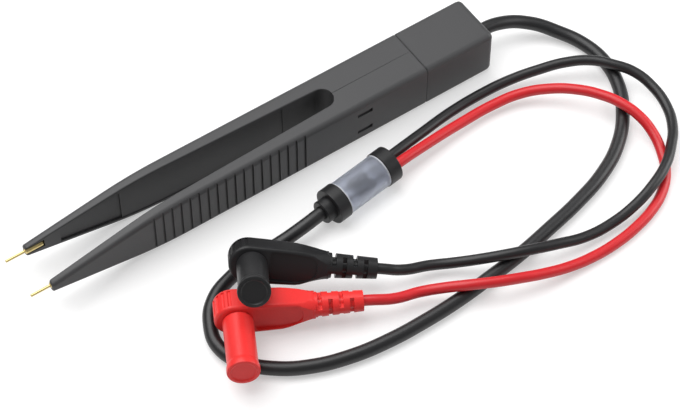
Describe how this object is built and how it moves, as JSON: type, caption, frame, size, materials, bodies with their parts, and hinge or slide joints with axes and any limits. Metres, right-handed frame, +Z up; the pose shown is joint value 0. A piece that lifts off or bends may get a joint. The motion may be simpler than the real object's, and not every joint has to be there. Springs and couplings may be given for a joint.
{
  "type": "test tweezers",
  "caption": "Springy test tweezers with needle contacts, on a cable that splits through a splice into a red and a black lead with right-angle plugs.",
  "frame": {"origin": "centre of the tweezers' footprint, on the surface they lie on", "axes": "+X from the needles to the cable, +Z up, +Y towards the left arm"},
  "size_m": [0.1954, 0.0928, 0.0273],
  "materials": {
    "shell": "fine-textured dark grey",
    "cover": "satin black",
    "gold": "gold plate",
    "nickel": "nickel plate",
    "black_jacket": "satin black jacket",
    "red_jacket": "satin red jacket",
    "shrink_cover": "dark slate shrink tube",
    "black_moulding": "satin black moulding",
    "red_moulding": "satin red moulding",
    "clear_sleeve": "milky translucent"
  },
  "bodies": {
    "body": {"left_rear_half": "shell", "right_rear_half": "shell", "rear_cap": "shell", "black_plug_pin": "nickel", "red_plug_pin": "nickel", "main_cable": "black_jacket", "black_lead": "black_jacket", "cable_tail": "black_jacket", "right_rear_core": "black_jacket", "red_lead": "red_jacket", "left_rear_core": "red_jacket", "black_splice_joint": "shrink_cover", "red_splice_joint": "shrink_cover", "cable_collar": "black_moulding", "splice_cable_cap": "black_moulding", "splice_lead_cap": "black_moulding", "black_plug_boot": "black_moulding", "black_plug_sheath": "black_moulding", "red_plug_boot": "red_moulding", "red_plug_sheath": "red_moulding", "splice_sleeve": "clear_sleeve"},
    "left_arm": {"left_arm": "shell", "left_inner_cover": "cover", "left_contact_pin": "gold", "left_arm_core": "red_jacket"},
    "right_arm": {"right_arm": "shell", "right_inner_cover": "cover", "right_contact_pin": "gold", "right_arm_core": "black_jacket"},
    "red_cap": {"red_dust_cap": "red_moulding"},
    "black_cap": {"black_dust_cap": "black_moulding"}
  },
  "joints": [
    {"name": "left_arm_flex", "type": "hinge", "parent": "body", "child": "left_arm", "pos_m": [0.0185, 0.00617, 0.00825], "axis": [0, 0, 1], "range_deg": [0, 3.8], "stiffness_Nm_per_rad": 1.5},
    {"name": "right_arm_flex", "type": "hinge", "parent": "body", "child": "right_arm", "pos_m": [0.0185, -0.00617, 0.00825], "axis": [0, 0, -1], "range_deg": [0, 3.8], "stiffness_Nm_per_rad": 1.5},
    {"name": "red_cap_pull", "type": "slide", "parent": "body", "child": "red_cap", "axis": [-0.4614, -0.877, 0.134], "range_m": [0, 0.05]},
    {"name": "black_cap_pull", "type": "slide", "parent": "body", "child": "black_cap", "axis": [-0.4226, -0.737, 0.5274], "range_m": [0, 0.05]}
  ],
  "couplings": [
    {"joint": "right_arm_flex", "follows": "left_arm_flex", "ratio": 1}
  ]
}
